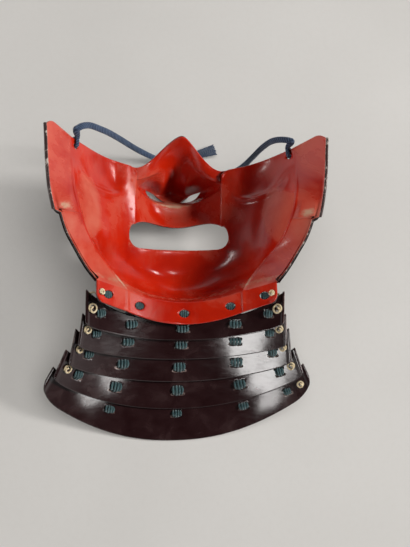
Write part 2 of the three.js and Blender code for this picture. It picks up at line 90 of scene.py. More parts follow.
# Relief inside a cheek: the bowl behind the cheekbone with the fold round it, and the hollow beside the
# crease. Middle, half-sizes and depth.
BOWL = {"x": 48, "y": 36, "wide": 15, "long": 12, "deep": 2.4, "fold": 1.3}
HOLLOW = {"x": 58, "y": 10, "wide": 8, "long": 26, "deep": 1.6}

# Stations of the nose piece: y and z of its middle, and the row of the cheek that its side meets. Then
# how a section rises (0 ridge, 1 bowl), the bowl's power, and the bow of the lip's edge.
NOSE = [[59.5, 53.5, 0], [55, 43, 0.18], [49.5, 28.5, 0.36], [44.7, 11.9, 0.5], [39.8, 1.4, 0.62],
        [32.5, 5.9, 0.72], [26, 14.5, 0.84], [18, 13.8, 1.35], [10.3, 17, 2.0]]
NOSE_FORM = [[0, 1.7, 0], [0, 1.7, 0], [0, 1.7, 0], [0.35, 2.6, 0], [0.85, 3.0, 0], [1, 3.1, 0],
             [1, 2.8, 0], [1, 2.5, 1], [1, 2.6, 3]]
RIDGE_POWER, RIDGE_BLUNT = 2.6, 0.13  # how the bridge's ridge falls to its sides, and how blunt it is
LAP = 5.6  # how far the nose piece laps the outside of a cheek
NOSTRIL = {"x": 12.2, "y": 34.4, "half": 8.2, "width": 2.4, "turn": -0.45}
RIVET_ROWS, RIVET_X = [0.55, 1.55], 31.4

# Lames: y and z of the middle of the upper and lower edges, then x, y, z of their corners.
LAMES = [
    ([-58, 38.5], [-69.8, 34.5], [60.8, -43.5, 60], [60.8, -64, 54.5]),
    ([-67.4, 31], [-80.8, 24.5], [62.7, -57, 54.5], [65, -76, 45.5]),
    ([-78.4, 22], [-94.1, 15], [66.5, -65, 47], [70.5, -86, 36.5]),
    ([-91.2, 12.1], [-110.9, 7], [72, -76.5, 40], [80, -94, 32]),
    ([-107.5, 5], [-130.9, 1.7], [79.5, -86, 33], [88.5, -101.5, 26]),
]
LAME_RISE = [2.1, 2.2, 2.3, 2.5, 2.8]  # powers by which the ends rise
LAME_CORNER = [0.1, 0.1, 0.1, 0.15, 0.5]  # rounding of the lower corners
TOP_SWEEP, FOOT_SWEEP = 3.4, 2.2  # powers by which the upper and lower edges sweep up to the ends
MIDDLE_LAME = 2

# Lacing: where it crosses each lame, 0 at the upper edge and 1 at the lower one, how much lower towards
# the ends, and its columns and their widths. BUNDLE is how broad and tall it shows on each lame.
LACE_PLACE = [0.42, 0.37, 0.44, 0.42, 0.28]
LACE_DROP = [0, 0, 0, 0.04, 0.3]
LACE_COLUMNS = [-0.855, -0.54, 0, 0.54, 0.855]
LACE_WIDTHS = [5.4, 7.2, 7.2, 7.2, 5.4]
BUNDLE = [[1, 1], [1, 1], [1.02, 1.22], [1.02, 1.28], [0.86, 0.95]]
EDGE_COLUMN = 0.942
CURL_SIZES = (0.6, 1.12, 0.95, 0.9, 1, 0.85)  # on the flange, then on each lame
LACE_REACH, EDGE_REACH = 2.3, 1.8  # half the length of a crossing
LACE_GAP, LACE_THICK, TURN = 0.6, 1.1, 0.8  # off the plate, thickness, and room to turn round an edge
# An arch of the lacing: how far its ends sink below the plate and it rises from there, and how much
# lower its outermost strands are, and shorter, as a share.
ARCH = {"sink": 2.3, "rise": 3.7, "lower": 0.7, "shorter": 0.42}
HIDDEN_END = -0.8  # columns to the left of this don't show on the lowest lame
FLANGE_HOLES = [-47.8, -28.3, 0, 28.3, 47.8]
EDGE_HOLE_X = 52
FLANGE_HOLE_HALF, EDGE_HOLE_HALF = (3.5, 2.7), (1.2, 1.5)
NEAR_SIDE, FAR = 6, 9  # a hole reaches this far up and down, and past that its distance counts as FAR

# The cord: its holes in the cheeks, and its two routes from there to the knot.
CORD_HOLE = {"across": 0.968, "row": 0.2, "radius": 2}
CORD_LEFT = [
    [-67.7, 54, 69.8], [-63.9, 57.3, 67.6], [-58.9, 60, 63], [-51.4, 61.3, 55], [-46.2, 62.2, 48.5],
    [-41, 62.8, 41.5], [-36, 63.3, 34.5], [-31.4, 63.7, 28], [-25.4, 64.2, 20], [-19.4, 64.4, 13.5],
    [-14.2, 64.4, 8.6], [-10.2, 64.4, 5.6], [-6.2, 64.5, 3.7], [-2.6, 64.6, 2.8],
]
CORD_RIGHT = [
    [68.8, 53.4, 69.7], [66.4, 54.9, 67.8], [63.1, 57, 63.5], [60.2, 58.7, 57.5], [58.2, 59.3, 51.5],
    [55.9, 59, 43.5], [54, 58.2, 35], [52.4, 57.5, 27.5], [50.5, 56.8, 20], [47.6, 56, 12.5],
    [43.2, 55.4, 6.5], [37.4, 55.4, 3], [31, 56.4, 1.6], [25.4, 58.4, 1.5], [20, 61.2, 1.8],
    [15, 63.8, 2.8],
]
CORD_WIDTH, CORD_THICK = 4.0, 1.9
BRAID_PITCH, THREADS_ROUND = 1.1, 6  # length of a lozenge of the plait, and lozenges round the cord
BIGHT_PULL = 7.0  # how far a bight goes straight before it bends
LOOP_OFF = (0.7, 0.9, 0.8)  # the loop's middle line off the plate: outside, inside, and past its edge
KNOT_CENTRE, KNOT_SIZE = [6, 65.6, 3.4], [2.0, 1.38, 1.45]
TAIL = {"from": [14.2, 68.6, 2.6], "length": 19.5, "turn": 0.3, "strands": 14, "half_widths": [2.1, 3.8]}


# ---- arithmetic on whole arrays

def unit(vectors):
    """Vectors divided by their own lengths."""
    return vectors / np.maximum(np.linalg.norm(vectors, axis=-1, keepdims=True), 1e-9)


def ramp(low, high, value):
    """0 up to low, 1 from high on, and a straight line between."""
    return np.clip((value - low) / (high - low), 0, 1)


def soft(low, high, value):
    """The same with rounded ends: three times the square less twice the cube."""
    share = ramp(low, high, value)
    return share * share * (3 - 2 * share)


def bump(middle, width, value):
    """A bell: e to minus the square of the distance from the middle over the width."""
    return np.exp(-(((value - middle) / width) ** 2))


def mix(a, b, share):
    """a where the share is 0 and b where it is 1."""
    return a + (b - a) * share


def spread(*values):
    """Values as arrays of one shape."""
    return np.broadcast_arrays(*(np.asarray(value, float) for value in values))


def stops(*parts):
    """Rising numbers: first a start, then pairs of how many steps and where they end."""
    runs = [np.array([parts[0]], float)]
    for count, end in zip(parts[1::2], parts[2::2]):
        runs.append(np.linspace(runs[-1][-1], end, count + 1)[1:])
    return np.concatenate(runs)


def mirrored(half):
    """Numbers that rise from 0, with their negatives before them."""
    return np.concatenate([-half[:0:-1], half])


def cubic(start, leave, end, arrive, t):
    """The cubic from start, where t is 0, to end, where t is 1, with leave and arrive as its slopes there."""
    return (
        (2 * t**3 - 3 * t**2 + 1) * start + (t**3 - 2 * t**2 + t) * leave
        + (3 * t**2 - 2 * t**3) * end + (t**3 - t**2) * arrive
    )


def through(points, place):
    """A smooth line through points that stand at 0, 1, 2: between two of them it is the cubic that has
    half the step between their neighbours as its slope at each."""
    points = np.asarray(points, float)
    slopes = np.gradient(points, axis=0)
    place = np.clip(np.asarray(place, float), 0, len(points) - 1)
    low = np.minimum(place.astype(int), len(points) - 2)
    return cubic(points[low], slopes[low], points[low + 1], slopes[low + 1], (place - low)[..., None])


def frame_on(surface, u, v):
    """Where a surface of two parameters is, and its directions: up to the wearer, along and across."""
    step = 0.004
    u, v = np.asarray(u, float), np.asarray(v, float)
    along = unit(surface(u, v + step) - surface(u, v - step))
    up = unit(np.cross(surface(u + step, v) - surface(u - step, v), along))
    up = np.where(up[..., 2:] < 0, -up, up)
    return {"point": surface(u, v), "up": up, "along": along, "across": np.cross(along, up)}


def at(place, across, along, up):
    """A point given by a frame: its middle moved along the frame's three directions."""
    across, along, up = (np.asarray(value, float)[..., None] for value in (across, along, up))
    return place["point"] + across * place["across"] + along * place["along"] + up * place["up"]


def facing(points):
    """The normals of a grid, towards the wearer: the cross products of its steps down and across."""
    return unit(np.cross(np.gradient(points, axis=0), np.gradient(points, axis=1)))


def raised(points, height):
    """A grid whose points are moved along its normals by their heights."""
    return points + height[..., None] * facing(points)


def cell_middles(points):
    """The middle of each cell of a grid."""
    return (points[:-1, :-1] + points[1:, :-1] + points[1:, 1:] + points[:-1, 1:]) / 4


def corners_of(cells):
    """The corners of a grid that touch a chosen cell."""
    padded = np.pad(cells, 1)
    return padded[:-1, :-1] | padded[1:, :-1] | padded[1:, 1:] | padded[:-1, 1:]


def take_out(kept, gone):
    """Takes cells out of a grid, and gives the rows and columns of the corners left on the hole's border."""
    kept &= ~gone
    return np.nonzero(corners_of(gone) & corners_of(kept))


# ---- meshes

def in_metres(points):
    """Points of this script's own numbers as they stand in the part's frame, in metres."""
    return (np.asarray(points, float) - [0, MIDDLE, 0]) * MM


def put_object(name, data):
    """An object in the scene."""
    made = bpy.data.objects.new(name, data)
    bpy.context.scene.collection.objects.link(made)
    return made


def stand(made, place, right, back):
    """Stands a camera or a light at a place, by its own right and back."""
    turn = np.eye(4)
    turn[:3] = np.stack([right, np.cross(back, right), back, place], axis=1)
    made.matrix_world = turn.T.tolist()


def put_mesh(name, vertices, faces, marks=None, uv=None):
    """A smooth mesh object at the origin from points in millimetres, with its marks and its UV map."""
    mesh = bpy.data.meshes.new(name)
    mesh.from_pydata(in_metres(vertices).tolist(), [], [list(face) for face in faces])
    for kind, values in (marks or {}).items():
        values = np.asarray(values, np.float32)
        mesh.attributes.new(kind, "FLOAT", "POINT").data.foreach_set("value", values)
    if uv is not None:
        mesh.uv_layers.new(name="UVMap").data.foreach_set("uv", np.asarray(uv, np.float32).ravel())
    mesh.shade_smooth()
    mesh.update()
    return put_object(name, mesh)


def finish_piece(piece, material, node_name):
    """Gives a piece its material and its body, and hides the CAD node that it stands for."""
    piece.data.materials.append(material)
    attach(piece, "root")
    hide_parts(node_name)
    return piece


def put_braid(name, shape, material, node_name):
    """A piece of braid from its vertices, faces and UV."""
    vertices, faces, uv = shape
    return finish_piece(put_mesh(name, vertices, faces, uv=uv), material, node_name)


def shell(points, wall, kept, marks):
    """A plate with its wall, as vertices, faces and marks.

    The grid of points is the face towards the wearer. The outer face is the grid set back by the wall
    along its normals. Along every free edge a half-round joins the two: a point stands half the wall
    times the cosine of its angle along the normal, and EDGE_SWELL times the sine of it away from the
    plate. Nothing goes below 0."""
    rows, columns = points.shape[:2]
    count = rows * columns
    normal = facing(points).reshape(-1, 3)
    flat = points.reshape(-1, 3)
    grid = np.arange(count).reshape(rows, columns)
    corners = (grid[:-1, :-1], grid[1:, :-1], grid[1:, 1:], grid[:-1, 1:])
    inner = np.stack([corner[kept] for corner in corners], 1)
    edges = np.concatenate([inner[:, [k, (k + 1) % 4]] for k in range(4)])
    free = edges[~np.isin(edges[:, 0] * count + edges[:, 1], edges[:, 1] * count + edges[:, 0])]
    away = np.cross(flat[free[:, 1]] - flat[free[:, 0]], normal[free[:, 0]])
    out = np.zeros_like(flat)
    np.add.at(out, free[:, 0], away)
    np.add.at(out, free[:, 1], away)
    border = np.unique(free)
    place = np.zeros(count, int)
    place[border] = np.arange(len(border))
    angle = np.pi * np.arange(1, EDGE_STEPS)[:, None, None] / EDGE_STEPS
    rounds = (
        flat[border] - normal[border] * wall / 2
        + np.cos(angle) * normal[border] * wall / 2 + np.sin(angle) * unit(out[border]) * EDGE_SWELL
    )
    vertices = np.concatenate([flat, flat - wall * normal, rounds.reshape(-1, 3)])
    faces = [inner, inner[:, ::-1] + count]
    p, q = free.T
    for k in range(EDGE_STEPS):
        first, last = 2 * count + (k - 1) * len(border), 2 * count + k * len(border)
        high = [index if k == 0 else first + place[index] for index in (p, q)]
        low = [index + count if k == EDGE_STEPS - 1 else last + place[index] for index in (p, q)]
        faces.append(np.stack([high[1], high[0], low[0], low[1]], 1))
    faces = np.concatenate(faces)
    for name, values in marks.items():
        values = values.ravel()
        marks[name] = np.concatenate([values, values, np.tile(values[border], EDGE_STEPS - 1)])
    share = np.repeat(0.5 + 0.5 * np.cos(angle[:, 0, 0]), len(border))
    marks["inside"] = np.concatenate([np.ones(count), np.zeros(count), share])
    used, faces = np.unique(faces, return_inverse=True)
    faces = faces.reshape(-1, 4)
    vertices[:, 2] = np.maximum(vertices[:, 2], 0)
    return vertices[used], faces, {name: values[used] for name, values in marks.items()}


def cut_hole(points, kept, place, wide, long, power=2):
    """Takes a hole out of a grid: cells whose middles lie inside its outline go, and the corners left on
    its border move onto it. The outline is where the sum of (offset across / wide) and (offset along /
    long), each to the power, is 1. It returns that sum's root for each corner, or FAR on the other side
    of the plate's bend."""
    def offsets(values):
        step = values - place["point"]
        return step @ place["across"], step @ place["along"], step @ place["up"]

    def level(values):
        across, along, up = offsets(values)
        inside = (np.abs(across / wide) ** power + np.abs(along / long) ** power) ** (1 / power)
        return np.where(np.abs(up) < NEAR_SIDE, np.maximum(inside, 1e-6), FAR)

    rows, columns = take_out(kept, (level(cell_middles(points)) < 1) & kept)
    border = points[rows, columns]
    across, along, _ = offsets(border)
    grow = 1 / level(border) - 1
    step = (grow * across)[:, None] * place["across"] + (grow * along)[:, None] * place["along"]
    points[rows, columns] = border + step
    return level(points)


def tubes(paths, normals, width, thick, sides=10, scale=None, relief=None, caps=3):
    """Tubes of an elliptic section, one along each path, as vertices, faces and UV.

    A point of a section stands half the width times a cosine across the path, and half the thickness
    times a sine along its normal; scale swells whole sections and relief swells it by a function of
    turn and length. Half-round ends close each tube."""
    paths = np.asarray(paths, float)
    normals = np.broadcast_to(np.asarray(normals, float), paths.shape)
    tangent = unit(np.gradient(paths, axis=1))
    steps_long = np.linalg.norm(np.diff(paths, axis=1), axis=-1)
    length = np.concatenate([np.zeros((len(paths), 1)), np.cumsum(steps_long, axis=1)], axis=1)
    size = np.ones(paths.shape[:2]) if scale is None else np.broadcast_to(scale, paths.shape[:2])
    lean = np.pi / 2 * np.arange(1, caps + 1) / (caps + 0.35)
    reach = (np.sin(lean) * thick / 2)[None, :, None]
    start = paths[:, :1] - reach[:, ::-1] * tangent[:, :1] * size[:, :1, None]
    end = paths[:, -1:] + reach * tangent[:, -1:] * size[:, -1:, None]
    size = np.concatenate([size[:, :1] * np.cos(lean[::-1]), size, size[:, -1:] * np.cos(lean)], axis=1)
    repeat = [caps + 1] + [1] * (paths.shape[1] - 2) + [caps + 1]
    tangent, normals, length = (np.repeat(values, repeat, axis=1) for values in (tangent, normals, length))
    paths = np.concatenate([start, paths, end], axis=1)
    many, steps = paths.shape[:2]
    up = unit(normals - np.sum(normals * tangent, axis=-1, keepdims=True) * tangent)
    side = np.cross(tangent, up)
    turn = np.arange(sides) / sides
    swell = size[..., None] * np.ones(sides)
    if relief is not None:
        swell = swell * (1 + relief(turn[None, None, :], length[..., None]))
    flat = (np.cos(2 * np.pi * turn) * width / 2 * swell)[..., None]
    high = (np.sin(2 * np.pi * turn) * thick / 2 * swell)[..., None]
    vertices = paths[:, :, None] + flat * side[:, :, None] + high * up[:, :, None]
    index = np.arange(many * steps * sides).reshape(many, steps, sides)
    ahead = np.roll(index, -1, axis=2)
    quads = np.stack([index[:, 1:], ahead[:, 1:], ahead[:, :-1], index[:, :-1]], axis=-1).reshape(-1, 4)
    u = np.broadcast_to(turn, (many, steps - 1, sides))
    low, far = (np.broadcast_to(value[..., None], u.shape) for value in (length[:, :-1], length[:, 1:]))
    step = 1 / sides
    uv = np.stack([np.stack([u, far], -1), np.stack([u + step, far], -1), np.stack([u + step, low], -1),
                   np.stack([u, low], -1)], axis=-2).reshape(-1, 2)
    lids = list(index[:, 0]) + list(index[:, -1, ::-1])
    uv = np.concatenate([uv, np.zeros((len(lids) * sides, 2))])
    return vertices.reshape(-1, 3), list(quads) + lids, uv


def together(parts):
    """Several lots of vertices, faces and UV as one."""
    vertices, faces, uv = [], [], []
    count = 0
    for more, quads, map_points in parts:
        vertices.append(more)
        faces += [np.asarray(face) + count for face in quads]
        uv.append(map_points)
        count += len(more)
    return np.concatenate(vertices), faces, np.concatenate(uv)


def even(points, count):
    """So many points on the smooth line through some points, at equal lengths along it."""
    fine = through(points, np.linspace(0, len(points) - 1, 4000))
    length = np.concatenate([[0], np.cumsum(np.linalg.norm(np.diff(fine, axis=0), axis=1))])
    wanted = np.linspace(0, length[-1], count)
    return np.stack([np.interp(wanted, length, fine[:, k]) for k in range(3)], axis=1)


# ---- materials

def node(tree, kind, inputs=None, **settings):
    """A shader node with its settings and its inputs, by name or place. A socket as a value is linked."""
    made = tree.nodes.new("ShaderNode" + kind)
    for name, value in settings.items():
        setattr(made, name, value)
    for name, value in (inputs or {}).items():
        if isinstance(value, bpy.types.NodeSocket):
            tree.links.new(value, made.inputs[name])
        else:
            made.inputs[name].default_value = value
    return made


# The helpers below take their node tree from a socket or node that they are given: its id_data.

def noise(place, scale, detail=3, roughness=0.55, distortion=0):
    """A noise value from 0 to 1, its scale in cells a metre."""
    inputs = {"Vector": place, "Scale": scale, "Detail": detail, "Roughness": roughness}
    return node(place.id_data, "TexNoise", {**inputs, "Distortion": distortion}).outputs["Fac"]


def remap(value, low, high, to_low=0, to_high=1):
    """A value carried from one range to another, and held at its ends."""
    inputs = {"Value": value, "From Min": low, "From Max": high, "To Min": to_low, "To Max": to_high}
    return node(value.id_data, "MapRange", inputs).outputs["Result"]


def combine(operation, a, b):
    """Two values combined by one of the Math node's operations."""
    return node(a.id_data, "Math", {0: a, 1: b}, operation=operation).outputs[0]


def plus(a, b):
    """The sum of two values."""
    return combine("ADD", a, b)


def times(a, b):
    """The product of two values."""
    return combine("MULTIPLY", a, b)


def over(share, under, top):
    """A colour laid over another by a share."""
    return node(share.id_data, "Mix", {0: share, 6: under, 7: top}, data_type="RGBA").outputs[2]


def mark(place, name):
    """A float mark of the piece."""
    return node(place.id_data, "Attribute", attribute_name=name).outputs["Fac"]


def drawn_out(place, scale):
    """Places scaled along each axis, so that what is laid on them is drawn out where the scale is small."""
    return node(place.id_data, "Mapping", {0: place, 3: scale}).outputs[0]


def shades(value, *colours):
    """Colours along a value from 0 to 1, each with its place."""
    made = node(value.id_data, "ValToRGB", {0: value})
    band = made.color_ramp
    while len(band.elements) < len(colours):
        band.elements.new(0.5)
    for element, (place, colour) in zip(band.elements, colours):
        element.position = place
        element.color = colour
    return made.outputs[0]


def new_material(name, **constants):
    """A material with its shader and the places on its object. constants are the values of the shader's
    own sockets."""
    material = bpy.data.materials.new(name)
    material.use_nodes = True
    tree = material.node_tree
    shader = tree.nodes["Principled BSDF"]
    for socket, value in constants.items():
        shader.inputs[socket.replace("_", " ")].default_value = value
    return material, shader, node(tree, "TexCoord").outputs["Object"]


def feed(shader, socket, value):
    """Links a value or a colour to a socket of the shader."""
    shader.id_data.links.new(value, shader.inputs[socket])


def raise_by(shader, height, strength, distance, under=None):
    """Bump from a height, in metres at full value."""
    inputs = {"Height": height, "Strength": strength, "Distance": distance}
    if under is not None:
        inputs["Normal"] = under
    bent = node(shader.id_data, "Bump", inputs).outputs[0]
    feed(shader, "Normal", bent)
    return bent


def red_lacquer():
    """Glossy vermilion over the inside, with a painted pale pink sheen, a painted reflection, where it is
    marked for it, rubbed to the primer where it is marked worn; the rolled rim and the outside are dark
    lacquer with light scuffs, and the rim's inner side has more of them as a painted highlight line."""
    material, shader, place = new_material(
        "red_lacquer", Specular_IOR_Level=0.5, Coat_Weight=0.2, Coat_Roughness=0.1)
    cloud = noise(place, 26, 5, 0.6, 0.4)
    streak = noise(drawn_out(place, (1, 0.35, 0.6)), 95, 4, 0.6)
    fleck = noise(place, 620, 3, 0.7)
    chip = noise(place, 150, 4, 0.75, 0.6)
    red = shades(cloud, (0.3, (0.38, 0.008, 0.002, 1)), (0.52, (0.50, 0.016, 0.003, 1)),
                 (0.75, (0.58, 0.030, 0.009, 1)))
    # Painted sheen: a pale pink reflection painted into the red, strongest where the mark calls for it,
    # mottled by cloud and streaks.
    painted_sheen_share = plus(mark(place, "painted_sheen"), remap(cloud, 0.35, 0.65, -0.75, 0.35))
    painted_sheen_share = plus(remap(painted_sheen_share, -0.1, 0.9, 0, 0.9), remap(streak, 0.52, 0.8, 0, 0.28))
    red = over(painted_sheen_share, red, (0.54, 0.12, 0.075, 1))
    red = over(remap(fleck, 0.64, 0.76, 0, 0.35), red, (0.30, 0.008, 0.004, 1))
    worn = plus(mark(place, "wear_and_glint"), remap(chip, 0.3, 0.7, -0.45, 0.25))
    worn = plus(worn, remap(fleck, 0.35, 0.65, -0.12, 0.12))
    worn = times(remap(worn, 0.35, 0.85), mark(place, "wear_and_glint"))
    primer = shades(streak, (0.35, (0.42, 0.25, 0.15, 1)), (0.6, (0.60, 0.43, 0.30, 1)))
    red = over(worn, red, primer)
    scuffs_and_highlight = plus(chip, remap(fleck, 0.3, 0.7, -0.06, 0.06))
    # More pale scuffs towards the rim's inner side: a painted highlight line along the rolled rim, on top of
    # its real light scuffs.
    scuffs_and_highlight = plus(scuffs_and_highlight, remap(mark(place, "rim"), 0.3, 0.9, 0.16, -0.04))
    scuffs_and_highlight = remap(scuffs_and_highlight, 0.52, 0.60)
    dark = over(scuffs_and_highlight, (0.040, 0.022, 0.020, 1), (0.46, 0.40, 0.35, 1))
    speck = remap(fleck, 0.66, 0.74, 0, 0.6)
    outside = over(speck, (0.028, 0.014, 0.014, 1), (0.09, 0.05, 0.045, 1))
    rim = remap(mark(place, "rim"), 0.35, 0.6)
    inside = plus(mark(place, "inside"), remap(fleck, 0.3, 0.7, -0.15, 0.15))
    inside = remap(inside, 0.45, 0.75)
    colour = over(inside, outside, over(rim, red, dark))
    feed(shader, "Base Color", colour)
    rough = plus(remap(cloud, 0.3, 0.75, 0.17, 0.27), times(painted_sheen_share, 0.25))
    rough = plus(rough, times(worn, 0.5))
    feed(shader, "Roughness", combine("MINIMUM", rough, 0.62))
    wavy = raise_by(shader, cloud, 0.3, 0.0014)
    raise_by(shader, streak, 0.08, 0.0005, wavy)
    return material


def dark_lacquer():
    """Nearly black red-brown lacquer, glossy, faintly mottled, with fine pits and scratches."""
    material, shader, place = new_material("dark_lacquer", Specular_IOR_Level=0.55)
    cloud = noise(place, 60, 4, 0.55, 0.5)
    fleck = noise(place, 700, 3, 0.7)
    scratch = noise(drawn_out(place, (0.25, 1, 1)), 420, 3, 0.6)
    colour = shades(cloud, (0.3, (0.013, 0.0036, 0.004, 1)), (0.55, (0.021, 0.008, 0.0085, 1)),
                    (0.78, (0.042, 0.022, 0.022, 1)))
    colour = over(remap(fleck, 0.68, 0.78, 0, 0.4), colour, (0.11, 0.08, 0.08, 1))
    # Pale where the mark is high: worn edges, and painted highlights round the lower lacing slots.
    edge = plus(mark(place, "wear_and_glint"), remap(cloud, 0.35, 0.65, -0.6, 0.2))
    colour = over(remap(edge, 0.45, 0.9), colour, (0.26, 0.19, 0.17, 1))
    feed(shader, "Base Color", colour)
    rough = remap(cloud, 0.3, 0.75, 0.11, 0.17)
    rough = plus(rough, remap(scratch, 0.45, 0.7, -0.01, 0.05))
    feed(shader, "Roughness", rough)
    wavy = raise_by(shader, cloud, 0.12, 0.0006)
    raise_by(shader, scratch, 0.10, 0.0001, wavy)
    return material


def braid(name, deep, middle, pale, pitch, lean):
    """Silk braid: threads lie aslant round the cord, with fuzz. Their crests are painted pale and the
    grooves between them deep, painted highlight and painted shade, half of it mixed with random patches.
    pitch is how many threads a millimetre along, and lean how many turns they make round it."""
    material, shader, place = new_material(
        name, Roughness=0.82, Specular_IOR_Level=0.3, Sheen_Weight=0.35, Sheen_Roughness=0.45)
    tree = shader.id_data
    uv = node(tree, "UVMap", uv_map="UVMap").outputs[0]
    parts = node(tree, "SeparateXYZ", {0: uv})
    slant = plus(times(parts.outputs[0], lean * 2 * math.pi), times(parts.outputs[1], pitch * 2 * math.pi))
    thread = remap(node(tree, "Math", {0: slant}, operation="SINE").outputs[0], -1, 1)
    fuzz = noise(place, 1400, 3, 0.7)
    patch = noise(place, 160, 3, 0.6)
    # Painted highlight on the threads' crests and painted shade in their grooves, mixed half and half with
    # random patches of tone.
    patch_tone_and_painted_shade = plus(times(thread, 0.5), times(patch, 0.5))
    colour = shades(patch_tone_and_painted_shade, (0.25, deep), (0.5, middle), (0.78, pale))
    colour = over(remap(fuzz, 0.5, 0.75, 0, 0.4), colour, pale)
    feed(shader, "Base Color", colour)
    under = raise_by(shader, thread, 0.7, 0.0003)
    raise_by(shader, fuzz, 0.4, 0.0001, under)
    return material


def paper():
    """Pale wrapping paper for the floor, with faint fibres."""
    material, shader, place = new_material("paper", Roughness=0.75, Specular_IOR_Level=0.25)
    fibre = noise(place, 240, 4, 0.7)
    stain = noise(place, 5, 3, 0.5)
    colour = shades(stain, (0.3, (0.60, 0.585, 0.56, 1)), (0.7, (0.66, 0.645, 0.62, 1)))
    colour = over(remap(fibre, 0.45, 0.7, 0, 0.12), colour, (0.55, 0.53, 0.50, 1))
    feed(shader, "Base Color", colour)
    raise_by(shader, fibre, 0.2, 0.0002)
    return material


RED = red_lacquer()
DARK = dark_lacquer()
TEAL = braid("teal_braid", (0.006, 0.022, 0.027, 1), (0.022, 0.07, 0.078, 1), (0.1, 0.19, 0.2, 1), 2.4, 1)
GOLD = braid("gold_braid", (0.36, 0.24, 0.1, 1), (0.74, 0.58, 0.33, 1), (0.92, 0.82, 0.6, 1), 1.4, 1)
NAVY = braid("navy_braid", (0.012, 0.022, 0.045, 1), (0.03, 0.052, 0.1, 1), (0.085, 0.12, 0.19, 1), 0.6, 4)

# ---- camera


LENS, SENSOR = 46.07, 36
CAMERA_PLACE = (-0.0733, -0.09755, 0.4681)
CAMERA_AHEAD, CAMERA_UP = (0.196, 0.233, -0.952), (-0.013, 0.972, 0.235)


def put_camera():
    """A camera above the lips, looking down and along the face."""
    data = bpy.data.cameras.new("camera")
    data.lens = LENS
    data.sensor_width = SENSOR
    camera = put_object("camera", data)
    ahead = unit(np.array(CAMERA_AHEAD))
    stand(camera, CAMERA_PLACE, unit(np.cross(ahead, CAMERA_UP)), -ahead)
    bpy.context.scene.camera = camera


put_camera()

# ---- cords


def ridges(depth, pitch):
    """Relief of a twisted strand: the depth times a sine that runs round it and along it."""
    def relief(turn, length):
        return depth * np.sin(2 * np.pi * (turn + length * pitch))
    return relief


def chevrons(depth, pitch):
    """Relief of a plaited braid: two families of threads, aslant to either side, cross in lozenges. It
    rises, by a power below 1, with the product of the two slants' sines."""
    def relief(turn, length):
        left = np.sin(np.pi * (turn * THREADS_ROUND + length / pitch))
        right = np.sin(np.pi * (turn * THREADS_ROUND - length / pitch))
        return depth * np.abs(left * right) ** 0.6 - depth / 2
    return relief


def cord_normals(path):
    """The flat of the cord faces up, and a little towards the mask where it hangs."""
    low = soft(18, 3, path[:, 2])[:, None]
    return mix(np.array([0, -0.35, 1]), np.array([0, 0.0, 1]), low)


def put_cord(word, route):
    """A flat navy braid along its route: the piece, its path in the part's frame, and its length."""
    path = even(route, 460)
    shape = tubes(path[None], cord_normals(path)[None], CORD_WIDTH, CORD_THICK, 24,
                  relief=chevrons(0.07, BRAID_PITCH))
    piece = put_braid(f"navy_cord_{word}", shape, NAVY, f"face_cord_{word}")
    length = np.linalg.norm(np.diff(path, axis=0), axis=1).sum() * MM
    return piece, in_metres(path[::4]), float(length)


def put_knot():
    """The knot that joins the cord's ends: a three-lobed loop, two sines across, two cosines along, and
    one sine of three times the angle up and down."""
    turn = np.linspace(0, 2 * np.pi, 181)
    path = np.stack([
        KNOT_CENTRE[0] + KNOT_SIZE[0] * (np.sin(turn) + 2 * np.sin(2 * turn)),
        KNOT_CENTRE[1] + KNOT_SIZE[1] * (np.cos(turn) - 2 * np.cos(2 * turn)),
        KNOT_CENTRE[2] - KNOT_SIZE[2] * np.sin(3 * turn)], axis=1)
    shape = tubes(path[None], [0, 0, 1], 2.9, 2.3, 20, relief=chevrons(0.14, 1.5), caps=1)
    return put_braid("navy_knot", shape, NAVY, "cord_knot")


def put_tail():
    """The cord's cut end, teased flat: strands lie side by side and spread towards their ends; each waves a
    little, and the middle ones lie highest."""
    share = np.linspace(-1, 1, TAIL["strands"])[:, None]
    order = np.arange(TAIL["strands"])[:, None]
    along = np.linspace(0, 1, 50)[None, :] * (1 - 0.012 * (order * 7 % 5))
    forward = along * TAIL["length"]
    across = share * mix(*TAIL["half_widths"], along ** 1.2) + 0.06 * np.sin(forward * 1.9 + order * 2.4)
    up = 0.2 * np.sin(forward * 1.9 + order * 3.1) + 0.5 * (1 - share ** 2) + 1.2 * along ** 2
    turn = TAIL["turn"]
    path = np.stack([
        TAIL["from"][0] + forward * math.cos(turn) - across * math.sin(turn),
        TAIL["from"][1] + forward * math.sin(turn) + across * math.cos(turn),
        TAIL["from"][2] + up], axis=-1)
    shape = tubes(path, [0, 0, 1], 0.8, 1.1, 8, scale=mix(0.85, 1.0, along), caps=2)
    return put_braid("navy_tail", shape, NAVY, "cord_tail")


cords = [put_cord("left", CORD_LEFT), put_cord("right", CORD_RIGHT)]
tied = [put_knot(), put_tail()]
for (cord, path, length), pieces in zip(cords, (tied, [])):
    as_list(pieces)

# ---- mask plate


def seam_corner(x, row):
    """The top corner of a cheek is rounded off beside the nose piece."""
    return 3 * (1 - ramp(0, 0.4, row)) * (1 - ramp(SEAM, SEAM + 5, x)) ** 2


